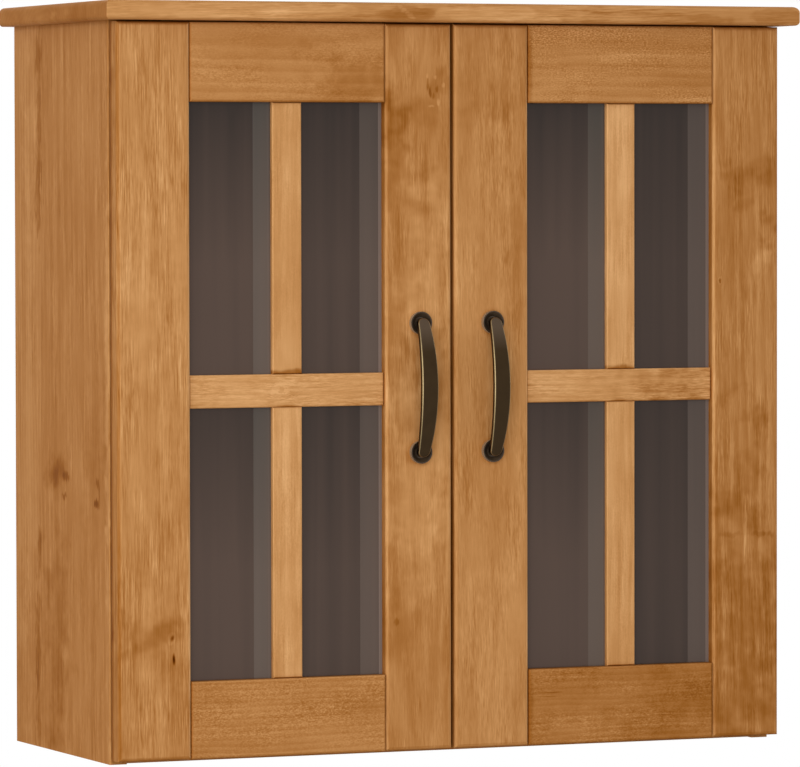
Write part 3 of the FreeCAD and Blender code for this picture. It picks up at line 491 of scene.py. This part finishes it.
def smokedGlass(side):
    material, tree = newMaterial("smoked_float_glass_" + side)
    place = addNode(tree, "ShaderNodeTexCoord").outputs["Object"]
    split = addNode(tree, "ShaderNodeSeparateXYZ", Vector=place)
    barLow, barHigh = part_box(side + "_upper_bar")
    crossLow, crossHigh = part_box(side + "_cross_bar")
    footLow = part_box(side + "_lower_bar")[0]

    # how far down its own light a point lies, for the painted shade that pales downwards
    fall = 0.0
    for top, foot, start in ((barHigh.z, crossHigh.z, 0.0), (crossLow.z, footLow.z, pane["lowerStart"])):
        down = addNode(tree, "ShaderNodeMapRange", Value=split.outputs["Z"], From_Min=top,
                       From_Max=top + (foot - top) * pane["fallShare"], To_Min=start).outputs[0]
        below = addNode(tree, "ShaderNodeMath", {"operation": "LESS_THAN"}, _0=split.outputs["Z"],
                        _1=top).outputs[0]
        fall = addNode(tree, "ShaderNodeMix", {"data_type": "FLOAT"}, Factor=below, A=fall, B=down).outputs[0]
    right = addNode(tree, "ShaderNodeMapRange", Value=split.outputs["X"], From_Min=barLow.x,
                    From_Max=barHigh.x, To_Min=1.0, To_Max=pane["rightShare"][side]).outputs[0]
    fall = addNode(tree, "ShaderNodeMath", {"operation": "MULTIPLY"}, _0=fall, _1=right).outputs[0]

    # faint upright streaks of painted reflection
    upright = addNode(tree, "ShaderNodeVectorMath", {"operation": "MULTIPLY"}, _0=place,
                      _1=(perMetre(pane["streakWidth"]), 0, perMetre(pane["streakLength"]))).outputs[0]
    streak = addNode(tree, "ShaderNodeTexNoise", {"normalize": False}, Vector=upright, Scale=1.0,
                     Detail=pane["streakDetail"]).outputs["Fac"]
    fall = addNode(tree, "ShaderNodeMath", {"operation": "MULTIPLY_ADD"}, _0=streak, _1=pane["streakDepth"],
                   _2=fall).outputs[0]
    colour = addNode(tree, "ShaderNodeMix", {"data_type": "RGBA"}, Factor=fall, _6=hexToLinear(pane["top"]),
                     _7=hexToLinear(pane["foot"])).outputs[2]
    for light, end in enumerate((barLow.x, crossHigh.x)):
        for strip in ("band", "line"):
            half = pane[strip + "Width"][light] / 2 * mm
            inside = addNode(tree, "ShaderNodeMath", {"operation": "COMPARE"}, _0=split.outputs["X"],
                             _1=end - half, _2=half).outputs[0]
            paler = addNode(tree, "ShaderNodeVectorMath", {"operation": "SCALE"}, Scale=inside,
                            _0=hexToLinear(pane[strip][side][light])[:3]).outputs[0]
            colour = addNode(tree, "ShaderNodeVectorMath", {"operation": "ADD"}, _0=colour,
                             _1=paler).outputs[0]
    glass = addNode(tree, "ShaderNodeBsdfPrincipled", Base_Color=colour, Roughness=pane["roughness"],
                    Specular_IOR_Level=pane["gloss"], Alpha=pane["alpha"])
    addNode(tree, "ShaderNodeOutputMaterial", Surface=glass.outputs[0])
    return material


for side in ("left", "right"):
    dress(side + "_glass", smokedGlass(side))
print("glass dressed")


# Brass, cast, darkened in the bath and rubbed back: mottled olive brown, with a painted sheen where the bow
# turns up, bright along its eased edges and round the walls of the rosettes, with dark dishes.
# Turns say how far a surface looks the way named, from none to all of the tint.
bow = {"deep": "#33271A", "patina": "#3F3120", "upper": "#57483A", "rubbed": "#9A8864", "flank": "#3A2C1A",
       "upperTurn": (0.26, 0.42), "rubbedTurn": (0.97, 0.8), "flankTurn": (0.4, 0.15), "radius": 139.9,
       "mottleSize": 12.0, "mottleDetail": 4.0, "metallic": 1.0, "roughness": 0.34}
rosette = {"dish": "#4D3D2F", "deep": "#33271A", "wall": "#A2937B", "wallTurn": (-0.4, -0.15),
           "mottleSize": 4.0, "mottleDetail": 4.0, "metallic": 0.4, "roughness": 0.34}


# the ground tint, with each of the others over it by its own share
def coatBrass(tree, piece, ground, shares):
    colour = hexToLinear(piece[ground])
    for tint, share in shares.items():
        colour = addNode(tree, "ShaderNodeMix", {"data_type": "RGBA"}, Factor=share, _6=colour,
                         _7=hexToLinear(piece[tint])).outputs[2]
    metal = addNode(tree, "ShaderNodeBsdfPrincipled", Base_Color=colour, Metallic=piece["metallic"],
                    Roughness=piece["roughness"])
    addNode(tree, "ShaderNodeOutputMaterial", Surface=metal.outputs[0])


def bowBrass(side):
    material, tree = newMaterial("antique_brass_bow_" + side)
    coords = addNode(tree, "ShaderNodeTexCoord")
    mottle = addNode(tree, "ShaderNodeTexNoise", Vector=coords.outputs["Object"],
                     Scale=perMetre(bow["mottleSize"]), Detail=bow["mottleDetail"]).outputs["Fac"]
    low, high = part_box(side + "_handle")
    axis = ((low.x + high.x) / 2, low.y + bow["radius"] * mm, (low.z + high.z) / 2)
    out = addNode(tree, "ShaderNodeVectorMath", {"operation": "SUBTRACT"}, _0=coords.outputs["Object"],
                  _1=axis).outputs[0]
    out = addNode(tree, "ShaderNodeVectorMath", {"operation": "MULTIPLY"}, _0=out, _1=(0, 1, 1)).outputs[0]
    out = addNode(tree, "ShaderNodeVectorMath", {"operation": "NORMALIZE"}, _0=out).outputs[0]
    upwards = addNode(tree, "ShaderNodeSeparateXYZ", Vector=out).outputs["Z"]
    outwards = addNode(tree, "ShaderNodeVectorMath", {"operation": "DOT_PRODUCT"}, _0=out,
                       _1=coords.outputs["Normal"]).outputs["Value"]
    shares = {"patina": mottle}
    # the part of the bow that turns up gets a painted sheen; the eased edges are rubbed bright
    for tint, turn in (("upper", upwards), ("rubbed", outwards), ("flank", outwards)):
        none, full = bow[tint + "Turn"]
        shares[tint] = addNode(tree, "ShaderNodeMapRange", Value=turn, From_Min=none,
                               From_Max=full).outputs[0]
    coatBrass(tree, bow, "deep", shares)
    return material


def rosetteBrass():
    material, tree = newMaterial("antique_brass_rosette")
    coords = addNode(tree, "ShaderNodeTexCoord")
    mottle = addNode(tree, "ShaderNodeTexNoise", Vector=coords.outputs["Object"],
                     Scale=perMetre(rosette["mottleSize"]), Detail=rosette["mottleDetail"]).outputs["Fac"]
    towards = addNode(tree, "ShaderNodeSeparateXYZ", Vector=coords.outputs["Normal"]).outputs["Y"]
    none, full = rosette["wallTurn"]
    wall = addNode(tree, "ShaderNodeMapRange", Value=towards, From_Min=none, From_Max=full).outputs[0]
    coatBrass(tree, rosette, "dish", {"deep": mottle, "wall": wall})
    return material


rosetteMetal = rosetteBrass()
for side in ("left", "right"):
    dress(side + "_handle", bowBrass(side))
    dress(side + "_rosettes", rosetteMetal)
print("handles dressed")


# Plain fittings: nickel-plated and zinc-plated steel, moulded plastic, ferrite, rubber, beech. Smooth and
# even, with a faint grain in two tones.
hingeSets = [side + part for part in ("_hinge_cups", "_hinge_pins", "_hinge_arms", "_hinge_plates")
             for side in ("left", "right")]
fittings = {
    "nickel_plated_steel": {"light": "#C9C6BF", "dark": "#A9A59C", "grit": 3.0, "metallic": 1.0,
                            "roughness": 0.28,
                            "on": hingeSets + ["left_strike_plate", "right_strike_plate", "shelf_supports"]},
    "zinc_plated_steel": {"light": "#BFC3C8", "dark": "#9DA2A8", "grit": 2.0, "metallic": 1.0,
                          "roughness": 0.38,
                          "on": ["cam_bolts", "cam_locks", "back_panel_screws", "catch_screws",
                                 "left_handle_screws", "right_handle_screws", "left_strike_screw",
                                 "right_strike_screw", "left_cup_screws", "right_cup_screws",
                                 "left_plate_screws", "right_plate_screws"]},
    "moulded_polystyrene": {"light": "#5A3B22", "dark": "#4C311C", "grit": 1.5, "metallic": 0.0,
                            "roughness": 0.5, "on": ["magnetic_catch"]},
    "sintered_ferrite": {"light": "#3C3B3A", "dark": "#282727", "grit": 1.0, "metallic": 0.0,
                         "roughness": 0.6, "on": ["catch_magnets"]},
    "moulded_rubber": {"light": "#CFCDC6", "dark": "#BDBAB2", "grit": 4.0, "metallic": 0.0,
                       "roughness": 0.6, "on": ["door_bumpers"]},
    "turned_beech": {"light": "#D0A97A", "dark": "#B98E5E", "grit": 2.0, "metallic": 0.0,
                     "roughness": 0.6, "on": ["carcass_dowels"]},
}
fittingDetail = 3.0


def plainFitting(name, kind):
    material, tree = newMaterial(name)
    place = addNode(tree, "ShaderNodeTexCoord").outputs["Object"]
    grain = addNode(tree, "ShaderNodeTexNoise", Vector=place, Scale=perMetre(kind["grit"]),
                    Detail=fittingDetail).outputs["Fac"]
    colour = addNode(tree, "ShaderNodeMix", {"data_type": "RGBA"}, Factor=grain, _6=hexToLinear(kind["dark"]),
                     _7=hexToLinear(kind["light"])).outputs[2]
    surface = addNode(tree, "ShaderNodeBsdfPrincipled", Base_Color=colour, Metallic=kind["metallic"],
                      Roughness=kind["roughness"])
    addNode(tree, "ShaderNodeOutputMaterial", Surface=surface.outputs[0])
    return material


for name, kind in fittings.items():
    material = plainFitting(name, kind)
    for piece in kind["on"]:
        dress(piece, material)
print("fittings:", len(fittings), "finishes")


# Studio: pale floor well below, white surroundings, large soft lamps round the cabinet.
# Metres, degrees and watts.
studio = {"floorDrop": 0.9, "floorSize": 1.5, "floorColour": "#F4F3F1", "floorRoughness": 0.9,
          "skyAbove": 0.54, "skyBelow": 0.26}
lamps = {
    "front_softbox": {"azimuth": -26.0, "height": 5.0, "distance": 4.2, "size": 3.2, "power": 97.0},
    "left_softbox": {"azimuth": -78.0, "height": 5.0, "distance": 4.2, "size": 3.2, "power": 52.0},
    "right_softbox": {"azimuth": 105.0, "height": 16.0, "distance": 4.2, "size": 4.0, "power": 78.0},
    "back_softbox": {"azimuth": 180.0, "height": 16.0, "distance": 4.2, "size": 4.0, "power": 52.0},
}

bpy.ops.mesh.primitive_plane_add(size=studio["floorSize"],
                                 location=(0, cadLow.y / 2, cadLow.z - studio["floorDrop"]))
floor = bpy.context.object
floor.name = "floor"
floorMaterial, floorTree = newMaterial("matt_floor_paint")
paint = addNode(floorTree, "ShaderNodeBsdfPrincipled", Base_Color=hexToLinear(studio["floorColour"]),
                Roughness=studio["floorRoughness"])
addNode(floorTree, "ShaderNodeOutputMaterial", Surface=paint.outputs[0])
floor.data.materials.append(floorMaterial)

# the eye, metal and glass see white, and the cabinet is lit by a softer sky
world = bpy.data.worlds.new("white_studio")
bpy.context.scene.world = world
world.use_nodes = True
sky = world.node_tree
sky.nodes.clear()
ray = addNode(sky, "ShaderNodeLightPath")
seen = addNode(sky, "ShaderNodeMath", {"operation": "MAXIMUM"}, _0=ray.outputs["Is Camera Ray"],
               _1=ray.outputs["Is Glossy Ray"]).outputs[0]
seen = addNode(sky, "ShaderNodeMath", {"operation": "MAXIMUM"}, _0=seen,
               _1=ray.outputs["Is Transmission Ray"]).outputs[0]
aim = addNode(sky, "ShaderNodeTexCoord").outputs["Generated"]
height = addNode(sky, "ShaderNodeSeparateXYZ", Vector=aim).outputs["Z"]
dome = addNode(sky, "ShaderNodeMapRange", Value=height, From_Min=-1.0, From_Max=1.0,
               To_Min=studio["skyBelow"], To_Max=studio["skyAbove"]).outputs[0]
strength = addNode(sky, "ShaderNodeMix", {"data_type": "FLOAT"}, Factor=seen, A=dome, B=1.0).outputs[0]
air = addNode(sky, "ShaderNodeBackground", Color=(1, 1, 1, 1), Strength=strength)
addNode(sky, "ShaderNodeOutputWorld", Surface=air.outputs[0])

middle = (cadLow + cadHigh) / 2
for name, lamp in lamps.items():
    lampData = bpy.data.lights.new(name, "AREA")
    lampData.energy = lamp["power"]
    lampData.size = lamp["size"]
    softbox = bpy.data.objects.new(name, lampData)
    bpy.context.scene.collection.objects.link(softbox)
    turn, climb = math.radians(lamp["azimuth"]), math.radians(lamp["height"])
    towards = Vector((math.sin(turn) * math.cos(climb), -math.cos(turn) * math.cos(climb), math.sin(climb)))
    softbox.location = middle + towards * lamp["distance"]
    softbox.rotation_euler = (-towards).to_track_quat("-Z", "Y").to_euler()

# Camera: long lens from the left, a little above the middle. Metres, degrees, and mm for lens and sensor.
view = {"place": (-2.3466, -5.6619, -0.1107), "yaw": 23.088, "pitch": -1.976, "roll": 0.096, "lens": 265.34,
        "sensor": 36.0, "farthest": 50.0}
cameraData = bpy.data.cameras.new("camera")
cameraData.lens = view["lens"]
cameraData.sensor_width = view["sensor"]
cameraData.clip_end = view["farthest"]
camera = bpy.data.objects.new("camera", cameraData)
bpy.context.scene.collection.objects.link(camera)
camera.location = view["place"]
camera.rotation_euler = [math.radians(a) for a in (90 + view["pitch"], view["roll"], -view["yaw"])]
bpy.context.scene.camera = camera
bpy.context.scene.view_settings.view_transform = "Standard"
print("studio and camera set")
